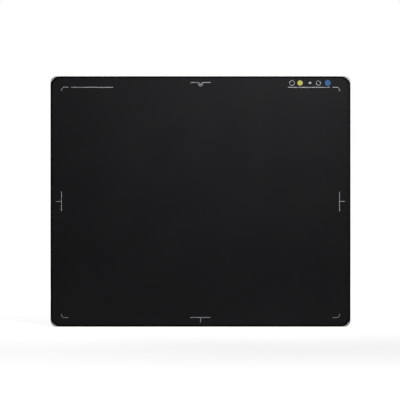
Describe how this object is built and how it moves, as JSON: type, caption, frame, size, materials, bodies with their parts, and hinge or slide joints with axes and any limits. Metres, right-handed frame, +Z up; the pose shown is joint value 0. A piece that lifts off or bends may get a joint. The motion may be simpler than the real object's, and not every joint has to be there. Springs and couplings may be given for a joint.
{
  "type": "flat panel x-ray detector",
  "caption": "Thin rectangular x-ray detector panel with a black front cover and grey frame, a rear battery that slides out between two locks, side buttons and a shallow tether socket.",
  "frame": {"origin": "centre of the lower long edge, half way through the thickness", "axes": "+X across the panel, +Y out of its back, +Z up from the lower edge"},
  "size_m": [0.46, 0.015, 0.384],
  "materials": {
    "carbon_cover": "satin, near black carbon fibre plate",
    "grey_ink": "matt printed ink",
    "spot_ink": "matt printed ink in grey, yellow and blue",
    "frame_metal": "satin anodised, mid grey",
    "rear_shell": "finely textured, dark graphite",
    "battery_shell": "finely textured, dark graphite",
    "bay_plastic": "moulded, black",
    "window_plastic": "smooth, black",
    "lock_plastic": "moulded, light grey",
    "button_plastic": "moulded, grey",
    "socket_plastic": "moulded, black",
    "light_plastic": "clear, frosted",
    "silicone": "soft, dark grey",
    "tape": "black foam bond",
    "cushion_foam": "closed-cell foam, dark",
    "screen_plate": "pale coated plate",
    "panel_glass": "thin display glass",
    "shield_metal": "dull heavy metal foil",
    "plate_metal": "cast light alloy",
    "circuit_board": "green solder mask",
    "flex_film": "amber film",
    "chip_black": "moulded, black",
    "component_mix": "moulded, dark",
    "can_metal": "tinned",
    "thermal_grey": "soft, grey",
    "contact_gold": "gold plated",
    "screw_steel": "machined",
    "screw_black": "blackened",
    "magnet_metal": "nickel plated",
    "cell_foil": "foil pouch",
    "led_white": "moulded",
    "coax_black": "thin jacket"
  },
  "bodies": {
    "housing": {"front_cover": "carbon_cover", "alignment_marks": "grey_ink", "indicator_dots": "spot_ink", "front_seal_tape": "tape", "impact_foam": "cushion_foam", "scintillator_screen": "screen_plate", "sensor_glass": "panel_glass", "scatter_shield": "shield_metal", "sensor_bond_sheet": "tape", "support_plate": "plate_metal", "support_plate_screws": "screw_steel", "corner_cushions": "silicone", "side_frame": "frame_metal", "rear_cover": "rear_shell", "rear_gasket": "silicone", "rear_cover_screws": "screw_black", "antenna_windows": "window_plastic", "antennas": "flex_film", "antenna_cables": "coax_black", "battery_bay": "bay_plastic", "contact_block": "socket_plastic", "contact_pins": "contact_gold", "contact_gasket": "silicone", "power_lead": "flex_film", "main_board": "circuit_board", "main_board_chips": "chip_black", "processor_shield": "can_metal", "thermal_pad": "thermal_grey", "wireless_card": "component_mix", "power_board": "circuit_board", "power_components": "component_mix", "readout_board": "circuit_board", "readout_flexes": "flex_film", "readout_chips": "chip_black", "gate_board": "circuit_board", "gate_flexes": "flex_film", "gate_chips": "chip_black", "board_standoffs": "screw_steel", "board_screws": "screw_steel", "board_link_cables": "flex_film", "tether_socket": "socket_plastic", "tether_pins": "contact_gold", "tether_magnets": "magnet_metal", "button_seal": "silicone", "power_button_dome": "silicone", "link_button_dome": "silicone", "status_light_guides": "light_plastic", "status_leds": "led_white", "side_switch_board": "circuit_board"},
    "battery": {"battery_tray": "battery_shell", "battery_cover": "battery_shell", "battery_screws": "screw_black", "battery_cells": "cell_foil", "lock_strikes": "screw_steel", "battery_board": "circuit_board", "battery_contacts": "contact_gold"},
    "left_lock": {"lock_slider_left": "lock_plastic"},
    "right_lock": {"lock_slider_right": "lock_plastic"},
    "power_key": {"power_button": "button_plastic"},
    "link_key": {"link_button": "button_plastic"}
  },
  "joints": [
    {"name": "battery_slide", "type": "slide", "parent": "housing", "child": "battery", "axis": [0, 1, 0], "range_m": [0, 0.02]},
    {"name": "left_lock_slide", "type": "slide", "parent": "housing", "child": "left_lock", "axis": [1, 0, 0], "range_m": [0, 0.004]},
    {"name": "right_lock_slide", "type": "slide", "parent": "housing", "child": "right_lock", "axis": [-1, 0, 0], "range_m": [0, 0.004]},
    {"name": "power_press", "type": "slide", "parent": "housing", "child": "power_key", "axis": [-1, 0, 0], "range_m": [0, 0.0005], "stiffness_N_per_m": 2000, "deforming": ["power_button_dome"]},
    {"name": "link_press", "type": "slide", "parent": "housing", "child": "link_key", "axis": [-1, 0, 0], "range_m": [0, 0.0005], "stiffness_N_per_m": 2000, "deforming": ["link_button_dome"]}
  ]
}
